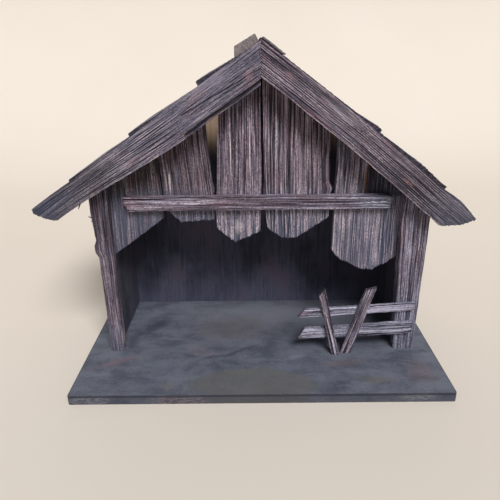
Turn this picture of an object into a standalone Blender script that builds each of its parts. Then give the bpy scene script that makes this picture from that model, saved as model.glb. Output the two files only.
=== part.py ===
"""An empty rustic stable for a nativity scene, made of rough boards on a flat base.

Sizes are in metres. X runs to the right, Y to the back and Z up. The origin is the
centre of the underside of the base board.
"""

import math
import random

import bmesh
import bpy
from mathutils import Matrix, Vector

# Driving dimensions
SEAT_GAP = 0.0003            # clearance between two pieces that touch

BASE_DEPTH = 0.240
BASE_THICKNESS = 0.012
BASE_CORNER = 0.003          # radius of the base's upright corners
BASE_EASING = 0.0008         # eased edges round the top of the base
BASE_MARGIN = 0.030          # of the base outside each side wall

STAGE_WIDTH = 0.374          # between the inner faces of the side walls
WALL_THICKNESS = 0.008
BACK_THICKNESS = 0.006
POST_SETBACK = 0.094         # from the front of the base to the faces of the posts
POST_THICKNESS = 0.012
LEFT_POST_LIP = 0.0080       # how far each post stands in from its wall
LEFT_POST_WIDTH = 0.0175
RIGHT_POST_LIP = 0.0135
RIGHT_POST_WIDTH = 0.0275

RIDGE_X = 0.0016             # the ridge stands a little right of the middle
RIDGE_RISE = 0.3797          # from the stage to the top of the bargeboards' mitre
LEFT_PITCH = math.radians(34.0)
RIGHT_PITCH = math.radians(38.1)
LEFT_EAVE_REACH = 0.0763     # from the inner face of each side wall out to the roof's tip
RIGHT_EAVE_REACH = 0.0634

BARGE_REACH = 0.020          # how far the bargeboards stand in front of the posts
BARGE_THICKNESS = 0.010
LEFT_BARGE_RIDGE_DEPTH = 0.0385
LEFT_BARGE_MIDDLE_DEPTH = 0.0370
LEFT_BARGE_TIP_DEPTH = 0.0280
RIGHT_BARGE_RIDGE_DEPTH = 0.0300
RIGHT_BARGE_TIP_DEPTH = 0.0345
RIGHT_BARGE_BOW = 0.0035     # the right bargeboard is bent upwards in its middle
TORN_LENGTH = 0.125          # strip split off the left bargeboard's lower front edge
TORN_HEIGHT = 0.0055
TORN_DEPTH = 0.0055

ROOF_PANEL_THICKNESS = 0.006
ROOF_BACK_OVERHANG = 0.010
LEFT_ROOF_DROP = 0.0087      # from the bargeboard's top line to the roof panel's face
RIGHT_ROOF_DROP = 0.0028
EAVE_INSET = 0.004           # the roof stops this far short of the bargeboards' ends
LEFT_COURSE_THICKNESS = 0.0055
LEFT_EAVE_COURSE_THICKNESS = 0.0038
RIGHT_COURSE_THICKNESS = 0.0040
COURSE_LAP = 0.010
COURSE_LEAST = 0.025         # no course at the eave is narrower than this
LEFT_COURSE_ENDS = (0.082, 0.176, 0.265)
RIGHT_COURSE_ENDS = (0.1644, 0.266)
RIDGE_SLAB_THICKNESS = 0.0104
RIDGE_SLAB_WIDTH = 0.0335
RIDGE_STRIP_THICKNESS = 0.0022
RIDGE_STRIP_WIDTH = 0.0310

GABLE_THICKNESS = 0.007
GABLE_GAPS = (0.0006, 0.0026, 0.0020, 0.0051)  # between the five boards, at the beam
GABLE_END_DROPS = (          # points of each board's sawn end, below the beam
    (0.0640, 0.0130),
    (-0.0005, 0.0178, 0.0155),
    (0.0247, 0.0446, 0.0308),
    (0.0267, 0.0393, 0.0395, 0.0127),
    (0.0560, 0.0675, 0.0800, 0.0829, 0.0837, 0.0756, 0.0682))
GABLE_FOOT_LEANS = (         # how far each board's two edges stray from upright below the beam
    (0.0, -0.0023), (0.0029, 0.0005), (-0.0014, -0.0024), (0.0062, 0.0001), (-0.0007, 0.0))
GABLE_TOP_LEANS = (          # and at the height of the ridge
    (0.0, -0.0115), (-0.0116, -0.0140), (0.0089, -0.0008), (-0.0018, -0.0066), (0.0023, 0.0))
GABLE_SPARE = 0.0065         # length that the saw took off each board's end
BEAM_THICKNESS = 0.0095
BEAM_HEIGHT = 0.0178
BEAM_BELOW_POST_TOP = 0.0246
BEAM_POST_GAP = 0.0147       # the beam stops short of both posts
BOARD_POST_SLIT = 0.0035     # dark slit between the last gable board and the right post

RAIL_THICKNESS = 0.005
RAIL_LENGTH = 0.149
RAIL_SLOPE = math.radians(3.5)
UPPER_RAIL_HEIGHT = 0.0699   # top of the rail's right end, above the stage
UPPER_RAIL_WIDTH = 0.0111
LOWER_RAIL_HEIGHT = 0.0429
LOWER_RAIL_WIDTH = 0.0168
RAIL_END_INSET = 0.006       # from the right post's outer edge
STAKE_THICKNESS = 0.005
LEFT_STAKE_WIDTH = 0.0103
LEFT_STAKE_LENGTH = 0.0937
LEFT_STAKE_TILT = math.radians(-12.9)
LEFT_STAKE_LEAN = math.radians(-3.5)
RIGHT_STAKE_WIDTH = 0.0132
RIGHT_STAKE_LENGTH = 0.1003
RIGHT_STAKE_TILT = math.radians(16.4)
RIGHT_STAKE_FROM_POST = 0.0632  # from the right post's inner edge to the stake's foot
STAKE_FEET_GAP = 0.0013      # between the two stakes' feet

STATION_STEP = 0.034         # longest stretch of a board between two lofted sections
RIDGE_SPACING = 0.0058       # between the raised lines of grain on a wide board

# Places that follow from the sizes above
BASE_FRONT = -BASE_DEPTH / 2
BASE_BACK = BASE_DEPTH / 2
STAGE_Z = BASE_THICKNESS
WALL_X = STAGE_WIDTH / 2
BASE_WIDTH = STAGE_WIDTH + 2 * (WALL_THICKNESS + BASE_MARGIN)
LEFT_SLOPE_LENGTH = (WALL_X + RIDGE_X + LEFT_EAVE_REACH) / math.cos(LEFT_PITCH)
RIGHT_SLOPE_LENGTH = (WALL_X - RIDGE_X + RIGHT_EAVE_REACH) / math.cos(RIGHT_PITCH)
POST_FRONT = BASE_FRONT + POST_SETBACK
POST_BACK = POST_FRONT + POST_THICKNESS
BARGE_FRONT = POST_FRONT - BARGE_REACH
ROOF_FRONT = BARGE_FRONT + BARGE_THICKNESS + SEAT_GAP
ROOF_BACK = BASE_BACK + ROOF_BACK_OVERHANG
GABLE_FRONT = POST_BACK + SEAT_GAP
BEAM_FRONT = GABLE_FRONT - SEAT_GAP - BEAM_THICKNESS
BACK_INNER = BASE_BACK - BACK_THICKNESS
RAIL_FRONT = POST_FRONT - SEAT_GAP - RAIL_THICKNESS
LEFT_POST_INNER = -WALL_X + LEFT_POST_LIP
LEFT_POST_OUTER = LEFT_POST_INNER - LEFT_POST_WIDTH
RIGHT_POST_INNER = WALL_X - RIGHT_POST_LIP
RIGHT_POST_OUTER = RIGHT_POST_INNER + RIGHT_POST_WIDTH
RIDGE_POINT = Vector((RIDGE_X, 0.0, STAGE_Z + RIDGE_RISE))


class Slope:
    """One side of the roof: distances run down the slope (s) and square to it (n)."""

    def __init__(self, side, pitch, length, drop, course_thickness, eave_course_thickness):
        self.side = side
        self.pitch = pitch
        self.length = length
        self.drop = drop
        self.course_thickness = course_thickness
        self.eave_course_thickness = eave_course_thickness
        self.down = Vector((side * math.cos(pitch), 0.0, -math.sin(pitch)))
        self.out = Vector((side * math.sin(pitch), 0.0, math.cos(pitch)))
        self.underside = -(drop + ROOF_PANEL_THICKNESS + SEAT_GAP)

    def point(self, s, n, y=0.0):
        place = RIDGE_POINT + self.down * s + self.out * n
        return Vector((place.x, y, place.z))

    def seat_cut(self):
        """The plane that trims a wall or board just under the roof panel."""
        return self.point(0.0, self.underside), self.out

    def seat_height(self, x):
        """Height of that plane above the stage at a given X."""
        origin = self.point(0.0, self.underside)
        return origin.z - (x - origin.x) * self.side * math.tan(self.pitch) - STAGE_Z

    def mitre_cut(self):
        """The upright plane at the ridge that the two sides share."""
        point = RIDGE_POINT + Vector((self.side * SEAT_GAP / 2, 0.0, 0.0))
        return point, Vector((-self.side, 0.0, 0.0))


LEFT = Slope(-1, LEFT_PITCH, LEFT_SLOPE_LENGTH, LEFT_ROOF_DROP, LEFT_COURSE_THICKNESS,
             LEFT_EAVE_COURSE_THICKNESS)
RIGHT = Slope(1, RIGHT_PITCH, RIGHT_SLOPE_LENGTH, RIGHT_ROOF_DROP, RIGHT_COURSE_THICKNESS,
              RIGHT_COURSE_THICKNESS)


def clear_scene():
    for thing in list(bpy.data.objects):
        bpy.data.objects.remove(thing, do_unlink=True)


def stain(name, colour, roughness=0.85):
    """A dull wood finish for one piece."""
    material = bpy.data.materials.new(name)
    material.use_nodes = True
    shader = material.node_tree.nodes["Principled BSDF"]
    shader.inputs["Base Color"].default_value = (*colour, 1.0)
    shader.inputs["Roughness"].default_value = roughness
    shader.inputs["Metallic"].default_value = 0.0
    return material


UMBER = (0.085, 0.066, 0.068)
SMOKE = (0.070, 0.068, 0.078)
PALE_GRAIN = (0.125, 0.100, 0.102)
SOOT = (0.020, 0.018, 0.020)
SLATE = (0.062, 0.068, 0.078)
RAW_WOOD = (0.380, 0.270, 0.180)


def add_object(name, bm, frame, colour):
    bmesh.ops.recalc_face_normals(bm, faces=bm.faces)
    mesh = bpy.data.meshes.new(name)
    bm.to_mesh(mesh)
    bm.free()
    mesh.materials.append(stain(name + "_stain", colour))
    piece = bpy.data.objects.new(name, mesh)
    piece.matrix_world = frame
    bpy.context.scene.collection.objects.link(piece)
    return piece


def axes_frame(origin, across, into):
    """A placement from a board's own directions: across its face and into its wood."""
    along = across.cross(into)
    turned = Matrix((across, into, along)).transposed().to_4x4()
    return Matrix.Translation(origin) @ turned


def trim(bm, frame, point, normal):
    """Saw off what lies beyond a plane that is given in world space, and close the cut."""
    inverse = frame.inverted()
    local_point = inverse @ point
    local_normal = inverse.to_3x3() @ normal
    geometry = bm.verts[:] + bm.edges[:] + bm.faces[:]
    cut = bmesh.ops.bisect_plane(bm, geom=geometry, dist=1e-6, plane_co=local_point,
                                 plane_no=local_normal, clear_outer=True)
    rim = [edge for edge in cut["geom_cut"] if isinstance(edge, bmesh.types.BMEdge)]
    if rim:
        bmesh.ops.contextual_create(bm, geom=rim)


def outline_cuts(frame, outline):
    """Saw cuts for a board's end, along an outline of (across, along) points."""
    cuts = []
    for (x0, z0), (x1, z1) in zip(outline, outline[1:]):
        point = frame @ Vector((x0, 0.0, z0))
        normal = frame.to_3x3() @ Vector((z1 - z0, 0.0, x0 - x1)).normalized()
        cuts.append((point, normal))
    return cuts


def edge_at(edges, along):
    """The two edges of a board at a distance along it, read from its outline."""
    for (a0, low0, high0), (a1, low1, high1) in zip(edges, edges[1:]):
        if along <= a1:
            part = (along - a0) / (a1 - a0)
            return low0 + (low1 - low0) * part, high0 + (high1 - high0) * part
    return edges[-1][1:]


def station_places(edges):
    """Distances at which a board's section is drawn: its outline's own, and some between."""
    places = [edges[0][0]]
    for start, end in zip(edges, edges[1:]):
        count = max(1, math.ceil((end[0] - start[0]) / STATION_STEP))
        for number in range(1, count + 1):
            places.append(start[0] + (end[0] - start[0]) * number / count)
    return places


def rough_board(name, frame, edges, thickness, colour, ridges=6, furrow=0.0007, wobble=0.0006,
                cuts=(), seed=1):
    """A board with a furrowed face, lofted along its grain through uneven sections.

    edges lists (along, low edge, high edge). Furrows and wobble only take wood away, so
    the board stays within its outline and its thickness.
    """
    chance = random.Random(seed)
    columns = 2 * ridges
    spread = [0.0] + [(i + chance.uniform(-0.28, 0.28)) / columns for i in range(1, columns)] + [1.0]
    depths = [chance.uniform(0.5, 1.0) if i % 2 else chance.uniform(0.0, 0.25) for i in range(columns + 1)]
    depths[0] = depths[-1] = 0.9
    phases = [chance.uniform(0.0, math.tau) for _ in range(columns + 3)]
    places = station_places(edges)
    bm = bmesh.new()
    rings = []
    for along in places:
        low, high = edge_at(edges, along)
        low += wobble * (0.5 + 0.5 * math.sin(along * 90.0 + phases[-1]))
        high -= wobble * (0.5 + 0.5 * math.sin(along * 75.0 + phases[-2]))
        ring = []
        for share, depth, phase in zip(spread, depths, phases):
            swell = 0.75 + 0.25 * math.sin(along * 60.0 + phase)
            ring.append(bm.verts.new((low + (high - low) * share, furrow * depth * swell, along)))
        ring.append(bm.verts.new((high, thickness, along)))
        ring.append(bm.verts.new((low, thickness, along)))
        rings.append(ring)
    for first, second in zip(rings, rings[1:]):
        for i in range(len(first)):
            j = (i + 1) % len(first)
            bm.faces.new((first[i], first[j], second[j], second[i]))
    bm.faces.new(rings[0])
    bm.faces.new(rings[-1])
    for point, normal in cuts:
        trim(bm, frame, point, normal)
    return add_object(name, bm, frame, colour)


def plain_sheet(name, outline, frame, thickness, colour, cuts=()):
    """A flat sheet from an outline of (across, along) points, with its thickness behind it."""
    bm = bmesh.new()
    front = [bm.verts.new((x, 0.0, z)) for x, z in outline]
    face = bm.faces.new(front)
    grown = bmesh.ops.extrude_face_region(bm, geom=[face])
    moved = [item for item in grown["geom"] if isinstance(item, bmesh.types.BMVert)]
    bmesh.ops.translate(bm, verts=moved, vec=(0.0, thickness, 0.0))
    for point, normal in cuts:
        trim(bm, frame, point, normal)
    return add_object(name, bm, frame, colour)


def facing_front(y, z=STAGE_Z):
    """Placement of an upright board seen from the front: X across, Z along the grain."""
    return axes_frame(Vector((0.0, y, z)), Vector((1, 0, 0)), Vector((0, 1, 0)))


def base_board():
    bm = bmesh.new()
    bmesh.ops.create_cube(bm, size=1.0)
    bmesh.ops.scale(bm, verts=bm.verts, vec=(BASE_WIDTH, BASE_DEPTH, BASE_THICKNESS))
    upright = [e for e in bm.edges if abs(e.verts[0].co.z - e.verts[1].co.z) > BASE_THICKNESS / 2]
    bmesh.ops.bevel(bm, geom=upright, offset=BASE_CORNER, segments=4, profile=0.5, affect="EDGES")
    top = [e for e in bm.edges if all(v.co.z > 0 for v in e.verts)]
    rim = [e for e in top if any(abs(f.normal.z) < 0.5 for f in e.link_faces)]
    bmesh.ops.bevel(bm, geom=rim, offset=BASE_EASING, segments=2, profile=0.5, affect="EDGES")
    frame = Matrix.Translation((0.0, 0.0, BASE_THICKNESS / 2))
    return add_object("base_board", bm, frame, SLATE)


def back_panel():
    """The house-shaped back, which stands on the stage and closes it to the ridge."""
    half = WALL_X + WALL_THICKNESS
    outline = [(-half, SEAT_GAP), (half, SEAT_GAP), (half, RIDGE_RISE), (-half, RIDGE_RISE)]
    return plain_sheet("back_panel", outline, facing_front(BACK_INNER), BACK_THICKNESS, SOOT,
                       cuts=(LEFT.seat_cut(), RIGHT.seat_cut()))


def side_wall(name, slope):
    """A plain wall behind a post, cut to the roof at its top."""
    front = POST_BACK + SEAT_GAP
    back = BACK_INNER - SEAT_GAP
    inner = slope.side * WALL_X
    frame = axes_frame(Vector((inner, 0.0, STAGE_Z)), Vector((0, -slope.side, 0)),
                       Vector((slope.side, 0, 0)))
    reach = sorted((-slope.side * front, -slope.side * back))
    outline = [(reach[0], SEAT_GAP), (reach[1], SEAT_GAP), (reach[1], RIDGE_RISE), (reach[0], RIDGE_RISE)]
    return plain_sheet(name, outline, frame, WALL_THICKNESS, SOOT, cuts=(slope.seat_cut(),))


def left_post():
    """The narrow post, with a lump of bark left on its outer edge."""
    outer = LEFT_POST_OUTER
    inner = LEFT_POST_INNER
    edges = [(SEAT_GAP, outer, inner),
             (0.133, outer - 0.0013, inner + 0.0002),
             (0.140, outer - 0.0049, inner + 0.0002),
             (0.148, outer - 0.0055, inner + 0.0003),
             (0.156, outer - 0.0026, inner + 0.0003),
             (0.190, outer - 0.0045, inner + 0.0003),
             (RIDGE_RISE, outer - 0.0080, inner)]
    return rough_board("left_post", facing_front(POST_FRONT), edges, POST_THICKNESS, UMBER,
                       ridges=4, cuts=(LEFT.seat_cut(),), seed=11)


def right_post():
    """The wide post that the fence is nailed to, spreading a little towards its top."""
    outer = RIGHT_POST_OUTER
    inner = RIGHT_POST_INNER
    edges = [(SEAT_GAP, inner, outer),
             (0.120, inner - 0.0036, outer + 0.0016),
             (0.180, inner - 0.0052, outer + 0.0024),
             (RIDGE_RISE, inner - 0.0020, outer + 0.0026)]
    return rough_board("right_post", facing_front(POST_FRONT), edges, POST_THICKNESS, UMBER,
                       ridges=6, cuts=(RIGHT.seat_cut(),), seed=12)


def beam_bottom():
    """Height of the beam's lower edge above the stage, set from the top of the right post."""
    return RIGHT.seat_height(RIGHT_POST_INNER) - BEAM_BELOW_POST_TOP - BEAM_HEIGHT


def cross_beam():
    """The beam across the gable boards, with broken, slanting ends."""
    left = LEFT_POST_INNER + BEAM_POST_GAP
    right = RIGHT_POST_INNER - BEAM_POST_GAP
    frame = axes_frame(Vector((0.0, BEAM_FRONT, STAGE_Z + beam_bottom())), Vector((0, 0, -1)),
                       Vector((0, 1, 0)))
    top = -BEAM_HEIGHT
    edges = [(left, top, 0.0), (right, top, 0.0)]
    ends = [(top, left + 0.0018), (top * 0.63, left), (0.0, left + 0.0066)]
    cuts = outline_cuts(frame, ends)
    cuts += outline_cuts(frame, [(0.0, right - 0.0028), (top * 0.81, right), (top, right - 0.012)])
    return rough_board("cross_beam", frame, edges, BEAM_THICKNESS, PALE_GRAIN, ridges=4,
                       cuts=cuts, seed=13)


def gable_outlines():
    """The five boards of the gable, from the left wall to the right post.

    Each has its edges as (height, left, right) and the outline of its sawn end, with
    heights over the beam's lower edge.
    """
    # Each board's share of the gable's width, and its end's points as shares of the board
    boards = [
        (0.2055, (0.0, 0.979)),
        (0.1744, (0.010, 0.316, 1.017)),
        (0.1579, (-0.026, 0.402, 0.956)),
        (0.2289, (0.053, 0.286, 0.504, 1.001)),
        (0.2333, (-0.009, 0.109, 0.397, 0.510, 0.698, 0.829, 1.0)),
    ]
    top = RIDGE_RISE - beam_bottom()
    left = -WALL_X + SEAT_GAP
    boarded = RIGHT_POST_INNER - BOARD_POST_SLIT - left - sum(GABLE_GAPS)
    leans = zip(GABLE_FOOT_LEANS, GABLE_TOP_LEANS)
    gaps = GABLE_GAPS + (0.0,)
    outlines = []
    for (share, places), drops, (foot, head), gap in zip(boards, GABLE_END_DROPS, leans, gaps):
        width = boarded * share
        right = left + width
        edges = [(-max(drops) - GABLE_SPARE, left + foot[0], right + foot[1]),
                 (BEAM_HEIGHT, left, right),
                 (top, left + head[0], right + head[1])]
        sawn_end = [(left + width * place, -drop) for place, drop in zip(places, drops)]
        outlines.append((edges, sawn_end))
        left = right + gap
    return outlines


def gable_boards():
    """Five boards that hang from the roof behind the beam, each with its own sawn end."""
    frame = facing_front(GABLE_FRONT, STAGE_Z + beam_bottom())
    for number, (edges, end_outline) in enumerate(gable_outlines(), start=1):
        cuts = outline_cuts(frame, end_outline) + [LEFT.seat_cut(), RIGHT.seat_cut()]
        width = edges[0][2] - edges[0][1]
        rough_board(f"gable_board_{number}", frame, edges, GABLE_THICKNESS, UMBER,
                    ridges=round(width / RIDGE_SPACING), cuts=cuts, seed=20 + number)


def barge_frame(slope):
    """Placement of a bargeboard: its grain runs down the slope, its face to the front."""
    origin = Vector((RIDGE_POINT.x, BARGE_FRONT, RIDGE_POINT.z))
    return axes_frame(origin, -slope.side * slope.out, Vector((0, 1, 0)))


def barge_end_cuts(slope, outline):
    """Saw cuts for a bargeboard's lower end, along points of (s, n)."""
    cuts = []
    for (s0, n0), (s1, n1) in zip(outline, outline[1:]):
        normal = slope.down * (n0 - n1) + slope.out * (s1 - s0)
        cuts.append((slope.point(s0, n0, BARGE_FRONT), normal.normalized()))
    return cuts


def left_bargeboard():
    """The left bargeboard, deepest at the ridge, with a strip split off its lower edge."""
    tip = LEFT.length
    edges = [(-LEFT_BARGE_RIDGE_DEPTH, -LEFT_BARGE_RIDGE_DEPTH, 0.0),
             (0.45 * tip, -LEFT_BARGE_MIDDLE_DEPTH, 0.0),
             (0.83 * tip, -LEFT_BARGE_TIP_DEPTH, 0.0),
             (tip, -LEFT_BARGE_TIP_DEPTH, 0.0)]
    cuts = [LEFT.mitre_cut()]
    cuts += barge_end_cuts(LEFT, [(tip - 0.0015, 0.0), (tip - 0.0001, -0.0055), (tip - 0.0015, -0.0125),
                                  (tip - 0.0075, -0.0185), (tip - 0.0140, -0.0290)])
    board = rough_board("left_bargeboard", barge_frame(LEFT), edges, BARGE_THICKNESS, UMBER,
                        ridges=7, furrow=0.0010, cuts=cuts, seed=31)
    split_off_strip(board)
    return board


def split_off_strip(board):
    """Cut away the strip that tore off, ending in a slanting break."""
    low = -LEFT_BARGE_RIDGE_DEPTH
    outline = [(low - 0.004, -0.060), (low + TORN_HEIGHT, -0.060), (low + TORN_HEIGHT, TORN_LENGTH - 0.004),
               (low - 0.004, TORN_LENGTH + 0.003)]
    bm = bmesh.new()
    front = [bm.verts.new((x, -0.002, z)) for x, z in outline]
    grown = bmesh.ops.extrude_face_region(bm, geom=[bm.faces.new(front)])
    moved = [item for item in grown["geom"] if isinstance(item, bmesh.types.BMVert)]
    bmesh.ops.translate(bm, verts=moved, vec=(0.0, TORN_DEPTH + 0.002, 0.0))
    cutter = add_object("torn_strip_cutter", bm, board.matrix_world.copy(), RAW_WOOD)
    cutter.hide_render = True
    cutter.display_type = "WIRE"
    cut = board.modifiers.new("torn_strip", "BOOLEAN")
    cut.operation = "DIFFERENCE"
    cut.solver = "EXACT"
    cut.object = cutter


def right_bargeboard():
    """The right bargeboard, bent upwards a little and deepest at its tip."""
    tip = RIGHT.length
    stretches = 10
    edges = []
    for number in range(-1, stretches + 1):
        share = number / stretches
        bow = RIGHT_BARGE_BOW * 4.0 * share * (1.0 - share)
        depth = RIGHT_BARGE_RIDGE_DEPTH + (RIGHT_BARGE_TIP_DEPTH - RIGHT_BARGE_RIDGE_DEPTH) * share
        edges.append((share * tip, -bow, depth - bow))
    cuts = [RIGHT.mitre_cut()]
    cuts += barge_end_cuts(RIGHT, [(tip - 0.0014, 0.0008), (tip, -0.0035), (tip - 0.0107, -0.0185),
                                   (tip - 0.0263, -0.0312), (tip - 0.0400, -0.0360)])
    return rough_board("right_bargeboard", barge_frame(RIGHT), edges, BARGE_THICKNESS, UMBER,
                       ridges=6, furrow=0.0010, cuts=cuts, seed=32)


def roof_panel(name, slope):
    """The sheet that carries the courses, mitred at the ridge."""
    frame = axes_frame(slope.point(0.0, -slope.drop, 0.0), slope.down, -slope.out)
    turn = frame.to_3x3().inverted()
    run = sorted(((turn @ Vector((0, ROOF_FRONT, 0))).z, (turn @ Vector((0, ROOF_BACK, 0))).z))
    start = -0.03
    end = slope.length - EAVE_INSET
    outline = [(start, run[0]), (end, run[0]), (end, run[1]), (start, run[1])]
    return plain_sheet(name, outline, frame, ROOF_PANEL_THICKNESS, UMBER, cuts=(slope.mitre_cut(),))


def lay_courses(slope, side_name, ends):
    """Lay a side's planks from the eave up, each leaning on the one below.

    Returns the tilt of the top plank against the slope.
    """
    eave = slope.length - EAVE_INSET
    places = [0.0] + [end for end in ends if end < eave - COURSE_LEAST] + [eave]
    last = len(places) - 1
    step = slope.eave_course_thickness + SEAT_GAP
    tilt = 0.0
    for number in range(last, 0, -1):
        upper = places[number - 1] - (COURSE_LAP if number > 1 else 0.0)
        length = places[number] - upper
        thickness = slope.eave_course_thickness
        rise = 0.0
        if number < last:
            thickness = slope.course_thickness
            over_corner = step * length / (length - COURSE_LAP)
            over_butt = step + COURSE_LAP * tilt
            rise = max(over_corner, over_butt)
            step = thickness + SEAT_GAP
        tilt = rise / length
        mitred = number == 1
        roof_plank(f"{side_name}_roof_plank_{number}", slope, upper, length, tilt, thickness,
                   50 + 5 * number + slope.side, mitred=mitred)
    return tilt


def roof_plank(name, slope, upper, length, tilt, thickness, seed, lift=0.0, mitred=False, end_cut=None):
    """One plank along the roof, with its upper edge at a place on the slope."""
    angle = math.atan(tilt)
    down = slope.down * math.cos(angle) + slope.out * math.sin(angle)
    out = slope.out * math.cos(angle) - slope.down * math.sin(angle)
    bed = slope.point(upper, -slope.drop + SEAT_GAP + lift)
    frame = axes_frame(bed + out * thickness, down, -out)
    chance = random.Random(seed)
    back = ROOF_BACK - chance.uniform(0.0, 0.006)
    along_y = frame.col[2].y
    near, far = sorted((ROOF_FRONT * along_y, back * along_y))
    width = length / math.cos(angle)
    start = -thickness if mitred else 0.0
    edges = [(near, start, width), (near + (far - near) * 0.6, start, width - 0.0012), (far, start, width)]
    cuts = [slope.mitre_cut()] if mitred else []
    if end_cut:
        cuts.append(end_cut)
    return rough_board(name, frame, edges, thickness, SMOKE, ridges=max(3, round(width / 0.012)),
                       furrow=min(0.0009, thickness / 4), wobble=0.0010, cuts=cuts, seed=seed)


def ridge_boards(left_tilt, right_tilt):
    """The thick slab on the left of the ridge, sawn upright, and the thin strip on its right."""
    upright_cut = (LEFT.point(RIDGE_SLAB_WIDTH, 0.0), Vector((-1, 0, 0)))
    for name, slope, tilt, width, thickness, seed, end_cut in (
            ("ridge_slab", LEFT, left_tilt, RIDGE_SLAB_WIDTH, RIDGE_SLAB_THICKNESS, 91, upright_cut),
            ("ridge_strip", RIGHT, right_tilt, RIDGE_STRIP_WIDTH, RIDGE_STRIP_THICKNESS, 92, None)):
        lift = (slope.course_thickness + SEAT_GAP) / math.cos(math.atan(tilt))
        bed = -slope.drop + SEAT_GAP + lift
        upper = max(0.0, (SEAT_GAP - bed * math.sin(slope.pitch)) / math.cos(slope.pitch))
        roof_plank(name, slope, upper, width, tilt, thickness, seed, lift + upper * tilt, end_cut=end_cut)


def fence_rail(name, height, width, inset, end_slant, seed):
    """A rail nailed to the right post, with a slanting cut at its free end."""
    along = Vector((-math.cos(RAIL_SLOPE), 0.0, -math.sin(RAIL_SLOPE)))
    into = Vector((0, 1, 0))
    right_end = Vector((RIGHT_POST_OUTER - inset, RAIL_FRONT, STAGE_Z + height))
    frame = axes_frame(right_end, into.cross(along), into)
    edges = [(0.0, -width, 0.0), (RAIL_LENGTH, -width, 0.0)]
    cuts = outline_cuts(frame, [(0.0, RAIL_LENGTH - end_slant), (-width, RAIL_LENGTH)])
    return rough_board(name, frame, edges, RAIL_THICKNESS, PALE_GRAIN, ridges=round(width / 0.004),
                       furrow=0.0005, wobble=0.0004, cuts=cuts, seed=seed)


def upper_rail_top(x):
    """Height of the upper rail's top edge above the stage at a given X."""
    right_end = RIGHT_POST_OUTER - RAIL_END_INSET
    return UPPER_RAIL_HEIGHT - (right_end - x) * math.tan(RAIL_SLOPE)


def fence_stake(name, foot_x, width, length, tilt, lean, top_slant, seed):
    """A stake that stands on the stage and leans on the upper rail."""
    contact = upper_rail_top(foot_x + math.tan(tilt) * UPPER_RAIL_HEIGHT)
    back_face = RAIL_FRONT - SEAT_GAP + math.tan(lean) * contact
    foot = Vector((foot_x, back_face - STAKE_THICKNESS / math.cos(lean), STAGE_Z + SEAT_GAP))
    frame = Matrix.Translation(foot) @ Matrix.Rotation(lean, 4, "X") @ Matrix.Rotation(tilt, 4, "Y")
    half = width / 2
    edges = [(-width, -half, half), (length, -half, half)]
    cuts = [(foot, Vector((0, 0, -1)))]
    right_top = length - max(0.0, top_slant)
    left_top = length + min(0.0, top_slant)
    cuts += outline_cuts(frame, [(half, right_top), (-half, left_top)])
    return rough_board(name, frame, edges, STAKE_THICKNESS, PALE_GRAIN, ridges=2, furrow=0.0005,
                       wobble=0.0004, cuts=cuts, seed=seed)


def fence():
    """Two rails and two stakes in a V, in front of the right post."""
    fence_rail("fence_upper_rail", UPPER_RAIL_HEIGHT, UPPER_RAIL_WIDTH, RAIL_END_INSET, 0.0095, 41)
    fence_rail("fence_lower_rail", LOWER_RAIL_HEIGHT, LOWER_RAIL_WIDTH, RAIL_END_INSET + 0.0015, 0.0115, 42)
    right_foot = RIGHT_POST_INNER - RIGHT_STAKE_FROM_POST
    right_half = RIGHT_STAKE_WIDTH / math.cos(RIGHT_STAKE_TILT) / 2
    left_half = LEFT_STAKE_WIDTH / math.cos(LEFT_STAKE_TILT) / 2
    left_foot = right_foot - right_half - STAKE_FEET_GAP - left_half
    fence_stake("fence_left_stake", left_foot, LEFT_STAKE_WIDTH, LEFT_STAKE_LENGTH, LEFT_STAKE_TILT,
                LEFT_STAKE_LEAN, -0.0077, 43)
    fence_stake("fence_right_stake", right_foot, RIGHT_STAKE_WIDTH, RIGHT_STAKE_LENGTH, RIGHT_STAKE_TILT,
                0.0, -0.0079, 44)


def build():
    clear_scene()
    base_board()
    back_panel()
    side_wall("left_side_wall", LEFT)
    side_wall("right_side_wall", RIGHT)
    left_post()
    right_post()
    cross_beam()
    gable_boards()
    left_bargeboard()
    right_bargeboard()
    roof_panel("left_roof_panel", LEFT)
    roof_panel("right_roof_panel", RIGHT)
    left_tilt = lay_courses(LEFT, "left", LEFT_COURSE_ENDS)
    right_tilt = lay_courses(RIGHT, "right", RIGHT_COURSE_ENDS)
    ridge_boards(left_tilt, right_tilt)
    fence()


build()
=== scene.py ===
"""The look of an empty rustic stable for a nativity scene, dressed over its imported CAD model.

The rough boards are carved anew in the places of their CAD solids: each starts as a flat
grid, is drawn out to its thickness, fitted to its board's outline, furrowed along the
grain and frayed at its sawn ends. The smooth sheets keep their CAD shape. Lengths are in
metres, X to the right, Y to the back and Z up.
"""

import math

import bpy
import numpy as np
from mathutils import Matrix, Vector


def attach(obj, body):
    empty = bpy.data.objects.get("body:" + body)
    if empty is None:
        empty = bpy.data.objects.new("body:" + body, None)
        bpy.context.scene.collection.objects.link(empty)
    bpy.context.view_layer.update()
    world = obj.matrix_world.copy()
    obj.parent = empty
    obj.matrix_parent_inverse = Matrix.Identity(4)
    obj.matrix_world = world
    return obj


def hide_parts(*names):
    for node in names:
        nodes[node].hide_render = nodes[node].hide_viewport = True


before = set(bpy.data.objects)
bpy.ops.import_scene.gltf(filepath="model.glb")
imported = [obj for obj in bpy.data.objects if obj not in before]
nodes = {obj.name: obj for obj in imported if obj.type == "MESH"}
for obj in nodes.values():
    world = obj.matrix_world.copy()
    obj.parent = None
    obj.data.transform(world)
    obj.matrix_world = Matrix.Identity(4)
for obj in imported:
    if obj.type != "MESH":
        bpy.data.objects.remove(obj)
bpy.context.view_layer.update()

LEFT_PITCH = math.radians(34.0)
RIGHT_PITCH = math.radians(38.1)
RAIL_TILT = math.radians(3.5)
LEFT_STAKE_LEAN = math.radians(-12.9)
RIGHT_STAKE_LEAN = math.radians(16.4)
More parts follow.
